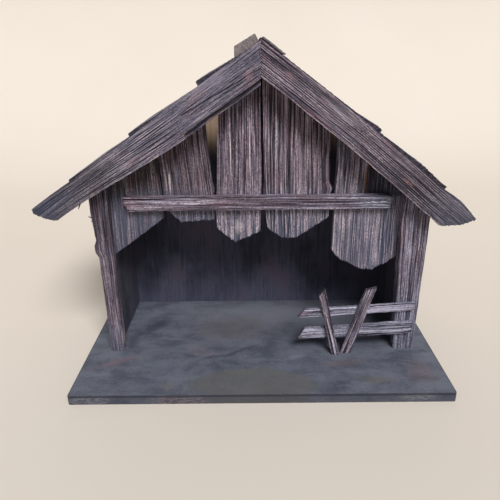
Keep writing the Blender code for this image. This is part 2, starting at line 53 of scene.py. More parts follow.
LEFT_DOWN = Vector((-math.cos(LEFT_PITCH), 0.0, -math.sin(LEFT_PITCH)))
RIGHT_DOWN = Vector((math.cos(RIGHT_PITCH), 0.0, -math.sin(RIGHT_PITCH)))
RAIL_GRAIN = Vector((-math.cos(RAIL_TILT), 0.0, -math.sin(RAIL_TILT)))
UP = Vector((0.0, 0.0, 1.0))
RIGHTWARDS = Vector((1.0, 0.0, 0.0))
BACKWARDS = Vector((0.0, 1.0, 0.0))
RIDGE_X = 0.0016
BASE_TOP = 0.012
BASE_FRONT = -0.120
BASE_SIDE = 0.225


# Shader arithmetic

class Shade:
    """An output of a shader tree. Sums written with it become Math nodes."""

    def __init__(self, finish, socket):
        self.finish = finish
        self.socket = socket

    def maths(self, operation, *values):
        return self.finish.add("Math", {"operation": operation}, dict(enumerate(values)))

    def __add__(self, other):
        return self.maths("ADD", self, other)

    def __sub__(self, other):
        return self.maths("SUBTRACT", self, other)

    def __rsub__(self, other):
        return self.maths("SUBTRACT", other, self)

    def __mul__(self, other):
        return self.maths("MULTIPLY", self, other)

    __radd__ = __add__
    __rmul__ = __mul__

    def step(self, low, high):
        """0 below low, 1 above high and smooth between them; low may be the larger."""
        return self.finish.add("MapRange", {"interpolation_type": "SMOOTHSTEP"},
                               {0: self, 1: low, 2: high, 3: 0.0, 4: 1.0})

    def over(self, other):
        return self.maths("MAXIMUM", self, other)


class Finish:
    """A material that is built up from nodes."""

    def __init__(self, name):
        self.material = bpy.data.materials.new(name)
        self.material.use_nodes = True
        self.tree = self.material.node_tree
        self.shader = self.tree.nodes["Principled BSDF"]

    def add(self, kind, settings, inputs, output=0):
        """A node of a kind, with its settings first and then its inputs' values or links."""
        node = self.tree.nodes.new("ShaderNode" + kind)
        for key, value in settings.items():
            setattr(node, key, value)
        for key, value in inputs.items():
            self.plug(value, node.inputs[key])
        return Shade(self, node.outputs[output])

    def plug(self, value, target):
        if isinstance(value, Shade):
            self.tree.links.new(value.socket, target)
        elif target.type == "RGBA":
            target.default_value = (*value, 1.0)
        else:
            target.default_value = value

    def blend(self, share, under, upper, mode="MIX"):
        """Two colours laid over each other by a share."""
        return self.add("Mix", {"data_type": "RGBA", "blend_type": mode},
                        {0: share, 6: under, 7: upper}, output=2)

    def speckle(self, place, size, detail=2.0, rough=0.5, shift=0.0):
        """Noise whose blots have the given size in metres along each axis."""
        scaled = self.add("VectorMath", {"operation": "MULTIPLY"},
                          {0: place, 1: tuple(1.0 / length for length in size)})
        moved = self.add("VectorMath", {"operation": "ADD"},
                         {0: scaled, 1: (shift, 1.7 * shift, 0.6 * shift)})
        return self.add("TexNoise", {}, {"Vector": moved, "Scale": 1.0, "Detail": detail,
                                         "Roughness": rough})

    def spot(self, place, centre, size, turn=0.0, soft=0.6):
        """1 inside an ellipsoid that is turned about Z, fading out to 0 towards its rim."""
        local = self.add("Mapping", {"vector_type": "TEXTURE"},
                         {"Vector": place, "Location": centre, "Rotation": (0.0, 0.0, math.radians(turn)),
                          "Scale": size})
        return self.add("VectorMath", {"operation": "LENGTH"}, {0: local}, output=1).step(1.0, 1.0 - soft)

    def finish_with(self, colour, roughness, height, depth):
        bump = self.add("Bump", {}, {"Strength": 1.0, "Distance": depth, "Height": height})
        self.plug(colour, self.shader.inputs["Base Color"])
        self.plug(roughness, self.shader.inputs["Roughness"])
        self.plug(bump, self.shader.inputs["Normal"])
        self.shader.inputs["Specular IOR Level"].default_value = 0.25
        return self.material


def linear(red, green, blue):
    """A colour as seen on a screen, from 0 to 255, in the values that a shader takes."""
    return tuple(((c / 255 + 0.055) / 1.055) ** 2.4 if c > 10 else c / 255 / 12.92
                 for c in (red, green, blue))


def rough_stain(name, axes, shift, mid, pale, paleness=1.0, red=1.0, cool=(-1.0, -2.0), run=1.0,
                shade=(-1.0, -2.0, 0.0), calm=0.0, marks=()):
    """Dark stain in the furrows of rough wood, deepened there by painted shade, brushed dry and pale over
    its raised grain.

    cool gives two places along the grain: the stain starts to turn blue at the first and is blue
    at the second. shade does the same for a darker tone, and adds its share; on the left post it
    is painted shade below the bargeboard, elsewhere just darker towards one end. As they stand,
    both lie off the board. run stretches the marks along the grain, calm evens the colour out, and
    marks are (tone, share, centre, size) of dabs.
    """
    wood = Finish(name)
    place = wood.add("Mapping", {}, {"Vector": wood.add("TexCoord", {}, {}, output=3),
                                     "Rotation": tuple(axes.transposed().to_euler("XYZ"))})
    along = wood.add("SeparateXYZ", {}, {0: place}, output=2)
    relief = wood.add("Attribute", {"attribute_name": "relief"}, {}, output=2)
    fibre = wood.speckle(place, (0.00055, 0.0010, 0.035 * run), 2.0, 0.6, shift)
    streak = wood.speckle(place, (0.0014, 0.0024, 0.070 * run), 2.0, 0.5, shift + 3.1)
    dash = wood.speckle(place, (0.0006, 0.0010, 0.0028 * run), 2.0, 0.7, shift + 7.7)
    patch = wood.speckle(place, (0.006, 0.014, 0.030), 3.0, 0.6, shift + 11.3)
    tint = wood.speckle(place, (0.009, 0.030, 0.040), 3.0, 0.6, shift + 19.1)
    grain = relief * 0.60 + fibre * 0.80 + streak * 0.14 + dash * 0.60 - 0.57
    colour = wood.blend(grain.step(0.28, 0.64), linear(36, 34, 43), mid)
    colour = wood.blend(tint.step(0.54, 0.70) * (0.34 * red), colour, linear(116, 72, 76))
    cooled = along.step(*cool)
    blue = (tint.step(0.46, 0.30) * 0.4).over(cooled * 0.65)
    colour = wood.blend(blue, colour, linear(84, 89, 110))
    lines = fibre.step(0.55, 0.66) * (patch * 0.8 + cooled * 0.3) * relief.step(0.10, 0.40)
    colour = wood.blend(lines * (0.8 * paleness), colour, pale)
    crest = (relief * 0.70 + fibre * 0.55 + patch * 0.30 + cooled * 0.08 - 0.275).step(0.48, 0.82)
    brushed = crest * dash.step(0.42, 0.56) * (patch.step(0.36, 0.64) * 0.7 + 0.3 + cooled * 0.2)
    colour = wood.blend(brushed * (0.95 * paleness), colour, pale)
    colour = wood.blend(fibre.step(0.44, 0.34) * 0.5, colour, linear(24, 23, 30))
    fleck = wood.speckle(place, (0.0006, 0.0010, 0.0014), 1.0, 0.5, shift + 23.0)
    colour = wood.blend(fleck.step(0.58, 0.72) * relief.step(0.25, 0.55) * (0.55 * paleness), colour, pale)
    colour = wood.blend(fleck.step(0.42, 0.28) * 0.45, colour, linear(40, 38, 48))
    # Near-black in the furrows: stain that gathers there, and painted shade in the grooves.
    furrows = (relief * 0.75 + fibre * 0.45 + dash * 0.25 - 0.10).step(0.34, 0.16)
    colour = wood.blend(furrows * 0.9, colour, linear(14, 14, 19))
    if calm:
        colour = wood.blend(calm, colour, mid)
    # A darker tone between two places along the grain; painted shade where it darkens the left post's top.
    if shade[2]:
        colour = wood.blend(along.step(*shade[:2]) * shade[2], colour, linear(24, 23, 31))
    for tone, share, centre, size in marks:
        near = wood.spot(place, centre, size, soft=0.9)
        dab = near * (dash * 0.8 + fibre * 0.6 + near * 0.3).step(0.80, 1.04)
        colour = wood.blend(dab * share, colour, tone)
    raw = wood.add("Attribute", {"attribute_name": "raw"}, {}, output=2)
    fresh = wood.blend(fibre.step(0.35, 0.60), linear(112, 66, 40), linear(196, 132, 84))
    colour = wood.blend(raw * dash.step(0.30, 0.50), colour, fresh)
    roughness = 0.70 + dash * 0.25
    height = fibre * 0.8 + dash * 0.5 + streak * 0.4
    return wood.finish_with(colour, roughness, height, 0.0007)


def base_stain():
    """Grey-blue stain wiped over the base in wisps, with brown and pink spots and worn edges; a lighter spot
    at the back inside the stable is painted light, and a dark line under the front top arris is painted
    shade.
    """
    sheet = Finish("base_stain")
    still = sheet.add("TexCoord", {}, {}, output=3)
    swirl = sheet.add("TexNoise", {}, {"Vector": still, "Scale": 28.0, "Detail": 4.0}, output=1)
    drift = sheet.add("VectorMath", {"operation": "MULTIPLY_ADD"},
                      {0: swirl, 1: (0.030, 0.022, 0.0), 2: still})
    place = sheet.add("VectorMath", {"operation": "SUBTRACT"}, {0: drift, 1: (0.015, 0.011, 0.0)})
    cloud = sheet.speckle(place, (0.040, 0.026, 0.030), 5.0, 0.6, 1.0)
    wisp = sheet.speckle(place, (0.050, 0.010, 0.030), 4.0, 0.6, 6.0)
    grit = sheet.speckle(still, (0.0016, 0.0016, 0.0016), 3.0, 0.8, 3.0)
    blotch = (cloud * 0.8 + grit * 0.4 - 0.1).step(0.34, 0.62)
    colour = sheet.blend(blotch, linear(74, 78, 90), linear(102, 106, 118))
    colour = sheet.blend(wisp.step(0.52, 0.72) * 0.45, colour, linear(114, 117, 130))
    for tone, share, centre, size, turn, soft in (
            # The first spot lightens the base's back inside the stable: painted light.
            (linear(112, 114, 124), 0.80, (0.010, 0.076), (0.200, 0.060), 0, 0.9),
            (linear(98, 97, 96), 0.75, (-0.009, -0.101), (0.083, 0.038), 0, 0.25),
            (linear(108, 108, 102), 0.50, (-0.112, -0.102), (0.017, 0.009), 0, 0.8),
            (linear(122, 104, 110), 0.50, (-0.181, -0.050), (0.044, 0.011), 20, 0.8),
            (linear(114, 110, 120), 0.55, (-0.078, -0.028), (0.032, 0.016), -38, 0.5),
            (linear(98, 90, 94), 0.55, (-0.035, 0.030), (0.080, 0.050), 10, 0.8),
            (linear(46, 50, 60), 0.60, (-0.150, 0.036), (0.036, 0.014), 48, 0.8),
            (linear(50, 54, 62), 0.50, (-0.172, 0.000), (0.012, 0.030), 0, 0.8),
            (linear(58, 62, 74), 0.55, (-0.038, -0.034), (0.066, 0.005), 26, 0.7),
            (linear(120, 124, 136), 0.55, (0.050, -0.043), (0.020, 0.006), 8, 0.8),
            (linear(110, 96, 98), 0.50, (0.105, -0.056), (0.036, 0.011), 6, 0.8),
            (linear(100, 96, 88), 0.55, (0.136, -0.094), (0.024, 0.010), -14, 0.8),
            (linear(104, 90, 96), 0.45, (0.196, -0.076), (0.026, 0.036), 0, 0.8),
            (linear(118, 118, 128), 0.50, (-0.072, 0.104), (0.030, 0.006), 0, 0.8)):
        mark = sheet.spot(place, (*centre, 0.0), (*size, 1.0), turn, soft)
        colour = sheet.blend(mark * (wisp * share + grit * share), colour, tone)
    colour = sheet.blend(grit.step(0.58, 0.74) * 0.45, colour, linear(128, 128, 136))
    colour = sheet.blend(grit.step(0.42, 0.28) * 0.50, colour, linear(48, 50, 60))

    x, y, z = (sheet.add("SeparateXYZ", {}, {0: still}, output=k) for k in range(3))
    front = y.step(BASE_FRONT + 0.0006, BASE_FRONT + 0.0002)
    worn = sheet.speckle(still, (0.0060, 0.004, 0.0012), 3.0, 0.7, 9.0)
    stretch = sheet.speckle(still, (0.045, 0.045, 0.045), 2.0, 0.5, 17.0)

    def on_front(across, height, half_width, half_height):
        """A spot on the base's front edge."""
        return sheet.spot(still, (across, BASE_FRONT, height), (half_width, 0.01, half_height))

    pinkish = sheet.blend(on_front(-0.095, 0.004, 0.045, 0.02), linear(150, 150, 158), linear(168, 140, 140))
    zones = on_front(-0.200, 0.006, 0.035, 0.02).over(on_front(-0.095, 0.006, 0.045, 0.02) * 0.8)
    zones = zones.over(on_front(0.180, 0.008, 0.032, 0.010))
    bare = (worn + zones * 0.12).step(0.52, 0.66) * (stretch.step(0.46, 0.66) * 0.6 + 0.10).over(zones)
    colour = sheet.blend(front * bare * 0.8, colour, pinkish)
    lower_arris = z.step(0.0022, 0.0006) * worn.step(0.42, 0.60)
    colour = sheet.blend(front * lower_arris * 0.5, colour, linear(140, 116, 104))
    # A dark line along the front face's top arris: painted shade under the rounded edge.
    upper_arris = (worn * 0.002 + z).step(BASE_TOP - 0.0024, BASE_TOP - 0.0014)
    colour = sheet.blend(front * upper_arris * 0.75, colour, linear(36, 38, 48))
    side_rim = (x.maths("ABSOLUTE", x) + worn * 0.002).step(BASE_SIDE - 0.0012, BASE_SIDE + 0.0004)
    front_rim = (y + worn * 0.002).step(BASE_FRONT + 0.0024, BASE_FRONT + 0.0012)
    colour = sheet.blend(side_rim.over(front_rim) * 0.55, colour, linear(40, 42, 52))
    return sheet.finish_with(colour, 0.62 + cloud * 0.25, grit * 0.6 + wisp * 0.3, 0.0003)


def inside_stain(name, bare_top, dark, light):
    """Near-black stain brushed upright on a thin panel; bare_top leaves raw wood high up on it.

    The raw wood has a faint glow, for daylight that comes in behind the gable's gap.
    """
    sheet = Finish(name)
    place = sheet.add("TexCoord", {}, {}, output=3)
    brush = sheet.speckle(place, (0.0035, 0.0035, 0.070), 4.0, 0.6, 2.0)
    cloud = sheet.speckle(place, (0.045, 0.045, 0.075), 4.0, 0.6, 5.0)
    fleck = sheet.speckle(place, (0.0022, 0.0022, 0.0030), 2.0, 0.6, 8.0)
    scratch = sheet.speckle(place, (0.012, 0.012, 0.0011), 3.0, 0.6, 12.0)
    z = sheet.add("SeparateXYZ", {}, {0: place}, output=2)
    colour = sheet.blend((brush * 0.5 + cloud * 0.7 - 0.1).step(0.32, 0.68), dark, light)
    colour = sheet.blend(cloud.step(0.50, 0.66) * brush.step(0.40, 0.60) * 0.6, colour, linear(86, 56, 60))
    # Lighter and bluer towards the bottom: painted light where light reaches in low; scratches also show
    # there.
    low = (z + brush * 0.03).step(0.085, 0.030)
    colour = sheet.blend(low * 0.35, colour, linear(72, 76, 98))
    colour = sheet.blend(scratch.step(0.66, 0.74) * low * 0.5, colour, linear(130, 124, 132))
    colour = sheet.blend(fleck.step(0.74, 0.78) * 0.8, colour, linear(150, 152, 150))
    if bare_top:
        grain = sheet.speckle(place, (0.0030, 0.0030, 0.090), 4.0, 0.6, 15.0)
        bare = sheet.blend(grain.step(0.35, 0.65), linear(214, 176, 150), linear(240, 212, 188))
        x, y = (sheet.add("SeparateXYZ", {}, {0: place}, output=k) for k in range(2))
        high = (z + (cloud + brush) * 0.012).step(0.246, 0.300)
        beside_gap = x.step(-0.030, -0.045) + x.step(0.080, 0.095) * 0.4
        inner_face = y.step(0.1180, 0.1160)
        share = high * beside_gap * inner_face
        colour = sheet.blend(share, colour, bare)
        daylight = (0.200, 0.138, 0.098)
        glow = sheet.blend(share * share, (0.0, 0.0, 0.0), daylight)
        sheet.plug(glow, sheet.shader.inputs["Emission Color"])
        sheet.shader.inputs["Emission Strength"].default_value = 1.0
    return sheet.finish_with(colour, 0.66 + brush * 0.2, brush * 0.6 + fleck * 0.4, 0.0003)


def roof_stain():
    """Dark stain on the roof panels, streaked along their length."""
    sheet = Finish("roof_stain")
    place = sheet.add("TexCoord", {}, {}, output=3)
    brush = sheet.speckle(place, (0.0035, 0.080, 0.0035), 4.0, 0.6, 2.0)
    cloud = sheet.speckle(place, (0.030, 0.060, 0.030), 4.0, 0.6, 5.0)
    streaks = (brush * 0.6 + cloud * 0.6 - 0.1).step(0.32, 0.68)
    colour = sheet.blend(streaks, linear(36, 34, 38), linear(72, 64, 68))
    colour = sheet.blend(cloud.step(0.55, 0.70) * 0.5, colour, linear(92, 70, 66))
    return sheet.finish_with(colour, 0.68 + brush * 0.2, brush, 0.0003)


# Carved boards

class Noise:
    """Smooth random heights from 0 to 1 over a plane, the same in every run."""

    def __init__(self, seed):
        self.heights = np.random.default_rng(seed).random((128, 128))

    def __call__(self, u, v):
        u0, v0 = np.floor(u).astype(int), np.floor(v).astype(int)
        fu, fv = u - u0, v - v0
        fu, fv = fu * fu * (3 - 2 * fu), fv * fv * (3 - 2 * fv)
        low = self.at(u0, v0) * (1 - fu) + self.at(u0 + 1, v0) * fu
        high = self.at(u0, v0 + 1) * (1 - fu) + self.at(u0 + 1, v0 + 1) * fu
        return low * (1 - fv) + high * fv

    def at(self, u, v):
        return self.heights[u % 128, v % 128]


def ramp(x, low, high):
    t = np.clip((x - low) / (high - low), 0.0, 1.0)
    return t * t * (3 - 2 * t)


def work_on(thing):
    bpy.ops.object.select_all(action="DESELECT")
    thing.select_set(True)
    bpy.context.view_layer.objects.active = thing


def flat_back(mesh, grain):
    """The turn of a board's own axes, across, into the wood and along the grain.

    The board lies with its largest flat face, its back, away from the furrowed one.
    """
    normals = np.array([f.normal[:] for f in mesh.polygons])
    areas = np.array([f.area for f in mesh.polygons])
    same_way = (normals @ normals.T > 0.999995) @ areas
    into = Vector(normals[int(np.argmax(same_way))]).normalized()
    along = (grain - into * grain.dot(into)).normalized()
    return Matrix((into.cross(along), into, along)).transposed()


class Outline:
    """A board's outline, read from its CAD solid: two long edges and two ends."""

    def __init__(self, mesh, axes):
        points = np.array([v.co[:] for v in mesh.vertices]) @ np.array(axes)
        self.back = points[:, 1].max()
        self.front = points[:, 1].min()
        uses = {}
        for face in mesh.polygons:
            ring = [tuple(np.round(points[i], 6)) for i in face.vertices]
            if min(p[1] for p in ring) > self.back - 2e-5:
                for start, end in zip(ring, ring[1:] + ring[:1]):
                    key = frozenset(((start[0], start[2]), (end[0], end[2])))
                    uses[key] = uses.get(key, 0) + 1
        rim = [sorted(key) for key, count in uses.items() if count == 1 and len(key) == 2]
        middle = np.mean([p for edge in rim for p in edge], axis=0)
        sides = {"left": [], "right": [], "foot": [], "head": []}
        for start, end in rim:
            across, along = abs(end[0] - start[0]), abs(end[1] - start[1])
            centre = ((start[0] + end[0]) / 2, (start[1] + end[1]) / 2)
            if along > 1.5 * across:
                side = "left" if centre[0] < middle[0] else "right"
                sides[side] += [(start[1], start[0]), (end[1], end[0])]
            else:
                side = "foot" if centre[1] < middle[1] else "head"
                sides[side] += [start, end]
        self.sides = {side: np.array(sorted(points)).T for side, points in sides.items()}

    def edge(self, side, place):
        return np.interp(place, *self.sides[side])


CUTS_THROUGH = 3
GNAWED_DEPTH = 0.0005
GNAWED_REACH = 0.004
FRAY_REACH = 0.012
SAWN_RIM = 0.0015


def carve(node_name, grain, seed, slot, mid, pale, columns=0.00025, rows=0.0022, furrow=0.0007,
          fray_foot=0.0, fray_head=0.0, trims=(), reach=(0.0, 0.0, 0.0, 0.0),
          shape=None, lumps=(), comb=0.0, ridges=(), splinters=(), **stain):
    """A rough board in the place of a CAD node.

    columns and rows are the spacing of its grid across and along the grain. furrow is the depth
    of the furrows, and fray_foot and fray_head how far its ends are frayed.
    reach lengthens the outline at its left, right, foot and head, for trims to cut back; a trim
    is a point and the normal of a plane.
    lumps are (side, place along, half width, height) of bumps on its two long edges.
    shape changes the places into the wood and the relief; it also tells where the wood is raw.
    comb adds even ridges along the grain. ridges are (place across, half width, height) of
    single ones, grooves if the height is negative. splinters are (foot, tip, radius).
    """
    node = nodes[node_name]
    axes = flat_back(node.data, grain)
    outline = Outline(node.data, axes)
    width = outline.sides["right"][1].max() - outline.sides["left"][1].min()
    length = outline.sides["head"][1].max() - outline.sides["foot"][1].min()
    thickness = outline.back - outline.front

    bpy.ops.object.select_all(action="DESELECT")
    bpy.ops.mesh.primitive_grid_add(x_subdivisions=max(4, round(width / columns)),
                                    y_subdivisions=max(4, round(length / rows)), size=1.0)
    piece = bpy.context.active_object
    piece.name = piece.data.name = "rough_" + node_name
    bpy.ops.object.mode_set(mode="EDIT")
    bpy.ops.mesh.select_all(action="SELECT")
    bpy.ops.mesh.extrude_region_move(TRANSFORM_OT_translate={"value": (0.0, 0.0, 1.0)})
    bpy.ops.mesh.select_mode(type="EDGE")
    bpy.ops.mesh.select_all(action="DESELECT")
    bpy.ops.object.mode_set(mode="OBJECT")
    mesh = piece.data
    for edge in mesh.edges:
        start, end = (mesh.vertices[i].co.z for i in edge.vertices)
        edge.select = abs(start - end) > 0.5
    bpy.ops.object.mode_set(mode="EDIT")
    bpy.ops.mesh.subdivide(number_cuts=CUTS_THROUGH)
    bpy.ops.mesh.select_mode(type="FACE")
    bpy.ops.mesh.select_all(action="DESELECT")
    bpy.ops.object.mode_set(mode="OBJECT")
    for face in mesh.polygons:
        face.select = face.center.z < 1e-4
    bpy.ops.object.mode_set(mode="EDIT")
    bpy.ops.mesh.dissolve_faces()
    bpy.ops.object.mode_set(mode="OBJECT")

    unit = np.empty(len(mesh.vertices) * 3)
    mesh.vertices.foreach_get("co", unit)
    unit = unit.reshape(-1, 3)
    u, v, lift = unit[:, 0] + 0.5, unit[:, 1] + 0.5, unit[:, 2]
    a = np.full(len(u), outline.sides["left"][1].mean()) + u * width
    c = np.zeros(len(u))
    for _ in range(8):
        foot, head = outline.edge("foot", a) - reach[2], outline.edge("head", a) + reach[3]
        c = foot + v * (head - foot)
        low, high = outline.edge("left", c) - reach[0], outline.edge("right", c) + reach[1]
        a = low + u * (high - low)
    for side, centre, half, height in lumps:
        bump = height * np.exp(-((c - centre) / half) ** 2)
        a = a - bump * ramp(u, 0.12, 0.0) if side == "left" else a + bump * ramp(u, 0.88, 1.0)
    b = outline.back - lift * thickness
    s = u * width

    noise = [Noise(seed * 10 + k) for k in range(6)]
    wander = noise[0](c / 0.090, s * 0 + 3.0) * 0.0016 + noise[0](c / 0.027, s * 0 + 9.0) * 0.0003
    lane = s + wander
    relief = 0.50 + 0.18 * (noise[1](lane / 0.0045, c / 0.200) - 0.5)
    relief += 0.70 * (noise[2](lane / 0.0010, c / 0.080) - 0.5)
    relief += 0.60 * (noise[3](lane / 0.0007, c / 0.035) - 0.5)
    relief += 0.50 * ramp(noise[4](lane / 0.0012, c / 0.200), 0.80, 0.95)
    relief -= 0.65 * ramp(noise[5](lane / 0.0013, c / 0.160), 0.20, 0.08)
    relief += comb * (np.abs(np.sin(math.pi * lane / 0.0024)) - 0.6)
    for where, half, height in ridges:
        relief += height * np.exp(-((a + wander - 0.0008 - where) / half) ** 2)
    relief = np.clip(relief, 0.0, 1.0)
    face = lift > 0.999
    relief = np.where(face, relief, 0.35 + 0.4 * noise[5](b / 0.0012 + s / 0.0012, c / 0.03))
    depth = furrow * (1.0 - relief)
    near_rim = np.minimum(u, 1 - u) * width
    depth = depth + 0.0006 * ramp(near_rim, 0.0012, 0.0) * noise[5](c / 0.006, s * 0)
    b = np.where(face, outline.front + depth, b)
    raw = np.zeros(len(u))
    if shape:
        b, relief, raw = shape(a, b, c, relief, outline)

    gnaw = noise[0](c / 0.009, b / 0.004) * 0.7 + noise[1](c / 0.0035, b / 0.002) * 0.3
    a = a + GNAWED_DEPTH * gnaw * ramp(u * width, GNAWED_REACH, 0.0)
    a = a - GNAWED_DEPTH * noise[2](c / 0.008, b / 0.004) * ramp((1 - u) * width, GNAWED_REACH, 0.0)
    teeth = noise[3](s / 0.0013, b / 0.0020) ** 1.5 * 0.8 + noise[4](s / 0.0050, b / 0.006) * 0.3
    c = c + fray_foot * teeth * ramp(v * length, FRAY_REACH, 0.0)
    c = c - fray_head * teeth * ramp((1 - v) * length, FRAY_REACH, 0.0)
    dark_foot = ramp(v * length, SAWN_RIM, 0.0) * (fray_foot > 0)
    dark_head = ramp((1 - v) * length, SAWN_RIM, 0.0) * (fray_head > 0)
    relief = relief * (1.0 - 0.5 * np.maximum(dark_foot, dark_head))

    placed = np.stack((a, b, c), axis=1) @ np.array(axes.transposed())
    mesh.vertices.foreach_set("co", placed.ravel())
    for label, values in (("relief", relief), ("raw", raw)):
        stored = mesh.attributes.new(label, "FLOAT", "POINT")
        stored.data.foreach_set("value", values.astype(np.float32))
    mesh.update()
    work_on(piece)
    bpy.ops.object.mode_set(mode="EDIT")
    for point, normal in trims:
        bpy.ops.mesh.select_all(action="SELECT")
        bpy.ops.mesh.bisect(plane_co=point, plane_no=normal, use_fill=True, clear_outer=True)
    for start, tip, radius in splinters:
        course = Vector(tip) - Vector(start)
        bpy.ops.mesh.primitive_cone_add(vertices=6, radius1=radius, radius2=radius * 0.3,
                                        depth=course.length, location=(Vector(tip) + Vector(start)) / 2,
                                        rotation=course.to_track_quat("Z", "Y").to_euler())
    bpy.ops.mesh.select_all(action="SELECT")
    bpy.ops.mesh.normals_make_consistent(inside=False)
    bpy.ops.object.mode_set(mode="OBJECT")
    bpy.ops.object.shade_smooth_by_angle(angle=math.radians(50))
    mesh.materials.append(rough_stain("stain_" + node_name, axes, seed * 3.7, mid, pale, **stain))
    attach(piece, "root")
    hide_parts(node_name)
    return piece


MAUVE = linear(100, 87, 102)
SLATE = linear(92, 90, 108)
PLUM = linear(112, 92, 104)
BONE = linear(196, 180, 188)
FROST = linear(206, 202, 218)

# The left post's shade darkens its top: painted shade below the left bargeboard.
carve("left_post", UP, 1, "posts", MAUVE, BONE, furrow=0.0008, cool=(0.070, 0.035),
      shade=(0.130, 0.185, 0.45),
      marks=((linear(146, 116, 122), 0.7, (-0.1995, 0.0, 0.125), (0.005, 1.0, 0.040)),
             (linear(176, 152, 154), 0.8, (-0.1795, 0.0, 0.030), (0.002, 1.0, 0.030))),
      splinters=(((-0.1965, -0.024, 0.1950), (-0.2036, -0.026, 0.1985), 0.0012),
                 ((-0.1965, -0.024, 0.1950), (-0.2012, -0.026, 0.1920), 0.0009)))
carve("right_post", UP, 2, "posts", MAUVE, FROST, furrow=0.0008, cool=(0.120, 0.040),
      shade=(0.060, 0.012, 0.25))
carve("cross_beam", RIGHTWARDS, 3, "cross_beam", PLUM, FROST, fray_foot=0.0050, fray_head=0.0030,
      run=1.2, comb=0.2, cool=(0.080, 0.140))

SPLIT_LEAN = 0.075
SPLIT_AT_BEAM = (0.1246, 0.218)
LAYER_LOST = 0.0026


def split_open(a, b, c, relief, outline):
    """The last gable board has lost a layer above the beam, right of a split with raw sides. The face left
    there is darkened through its relief: painted shade in the recess.
    """
    line = SPLIT_AT_BEAM[0] + (c - SPLIT_AT_BEAM[1]) * SPLIT_LEAN
    above = ramp(c, 0.2160, 0.2190)
    lost = ramp(a, line, line + 0.0010) * above
    b = np.where(b < outline.front + 0.0020, b + LAYER_LOST * lost, b)
    crack = ramp(np.abs(a - line), 0.0016, 0.0004) * above * ramp(c, 0.262, 0.250)
    b = np.where(b < outline.front + 0.0045, b + 0.0012 * crack, b)
    # Lower relief where the layer is lost: painted shade in the recess below the bargeboard.
    return b, relief * (1.0 - 0.55 * lost), crack


def lit_edge(a, c, relief, outline, side):
    """The relief with a pale arris along a long edge: worn wood, and a painted highlight on the arris."""
    worn_and_lit = ramp(np.abs(a - outline.edge(side, c)), 0.0022, 0.0010)
    return np.maximum(relief, 0.9 * worn_and_lit)


LEFT_BOARD_START = -0.2206
STRIP_LENGTH = 0.1245
STRIP_SIZE = 0.0055
CRACK_POINT = (0.3097, -0.1065)
CRACK_LEAN = 0.0943


def strip_torn_off(a, b, c, relief, outline):
    """The left bargeboard: worn flat near the ridge, deeply furrowed at its tip.

    A strip has split off its lower front edge, from the ridge down to a broken end. The ledge it leaves is
    darker: rougher wood under the strip, and painted shade.
    """
    place = c - LEFT_BOARD_START
    rise = (a - outline.edge("left", c)) / STRIP_SIZE
    torn = (rise < 1.0) & (place < STRIP_LENGTH - 0.004 * rise)
    face = b < outline.front + 0.0012
    relief = 0.5 + (relief - 0.5) * (0.30 + 1.40 * ramp(place, 0.09, 0.23))
    crack_line = CRACK_POINT[0] + CRACK_LEAN * (c - CRACK_POINT[1])
    crack = ramp(np.abs(a - crack_line), 0.0009, 0.0003)
    crack = crack * ramp(place, 0.120, 0.108) * ramp(place, 0.010, 0.025)
    relief = lit_edge(a, c, relief, outline, "left") * (1.0 - 0.8 * crack)
    b = np.where(face, b + 0.0008 * crack, b)
    b = np.where(torn, np.maximum(b, outline.front + STRIP_SIZE - 0.0006 * relief), b)
    end = ramp(np.abs(place - STRIP_LENGTH + 0.0020), 0.0040, 0.0010) * (rise < 1.0)
    # Darker relief on the torn ledge: its rougher wood and painted shade.
    return b, np.where(torn, 0.55 * relief, relief), 0.12 * end


def worn_and_lit_below(a, b, c, relief, outline):
    """The right bargeboard: its lower arris is worn pale and carries a painted highlight."""
    return b, lit_edge(a, c, relief, outline, "right"), 0.0 * a


GABLE_FRAYS = (0.0020, 0.0034, 0.0022, 0.0024, 0.0034)
GABLE_LUMPS = ((), (("right", 0.2265, 0.0055, 0.0016),), (), (("right", 0.2262, 0.0055, 0.0036),), ())
# Board 1's dark tone is partly painted shade below the left bargeboard; the rest are the boards' own tones.
GABLE_STAINS_AND_SHADE = ((linear(50, 39, 40), 0.40, 1.2), (linear(78, 65, 75), 0.62, 1.0),
                (linear(98, 82, 97), 1.0, 1.0), (linear(116, 100, 113), 1.15, 1.0),
                (linear(98, 91, 106), 0.95, 1.0))
PALE_DAB = linear(226, 212, 212)
GABLE_DABS = ((), ((PALE_DAB, 0.8, (-0.1060, 0.0, 0.236), (0.0020, 1.0, 0.030)),),
              ((PALE_DAB, 0.9, (-0.0336, 0.0, 0.275), (0.0013, 1.0, 0.060)),
               (PALE_DAB, 0.9, (-0.0112, 0.0, 0.270), (0.0013, 1.0, 0.060)),
               (PALE_DAB, 0.4, (-0.0250, 0.0, 0.180), (0.0120, 1.0, 0.022))),
              ((PALE_DAB, 0.8, (0.0200, 0.0, 0.290), (0.0014, 1.0, 0.050)),
               (PALE_DAB, 0.7, (0.0420, 0.0, 0.285), (0.0014, 1.0, 0.030)),
               (PALE_DAB, 0.6, (0.0560, 0.0, 0.265), (0.0018, 1.0, 0.040))),
              ((PALE_DAB, 0.6, (0.1020, 0.0, 0.180), (0.0030, 1.0, 0.050)),))
GABLE_RIDGES = ((), (), ((-0.0336, 0.0007, 0.8), (-0.0112, 0.0006, 0.7)),
                ((0.0139, 0.0006, -0.9), (0.0179, 0.0006, -0.9), (0.0197, 0.0006, 0.8),
                 (0.0361, 0.0006, -0.8), (0.0418, 0.0006, 0.7)), ())
for number in range(1, 6):
    mid, paleness, red = GABLE_STAINS_AND_SHADE[number - 1]
    carve(f"gable_board_{number}", UP, 10 + number, "gable_boards", mid, BONE, furrow=0.0008,
          fray_foot=GABLE_FRAYS[number - 1], lumps=GABLE_LUMPS[number - 1], ridges=GABLE_RIDGES[number - 1],
          shape=split_open if number == 5 else None, marks=GABLE_DABS[number - 1], paleness=paleness,
          red=red, cool=(0.240, 0.205))
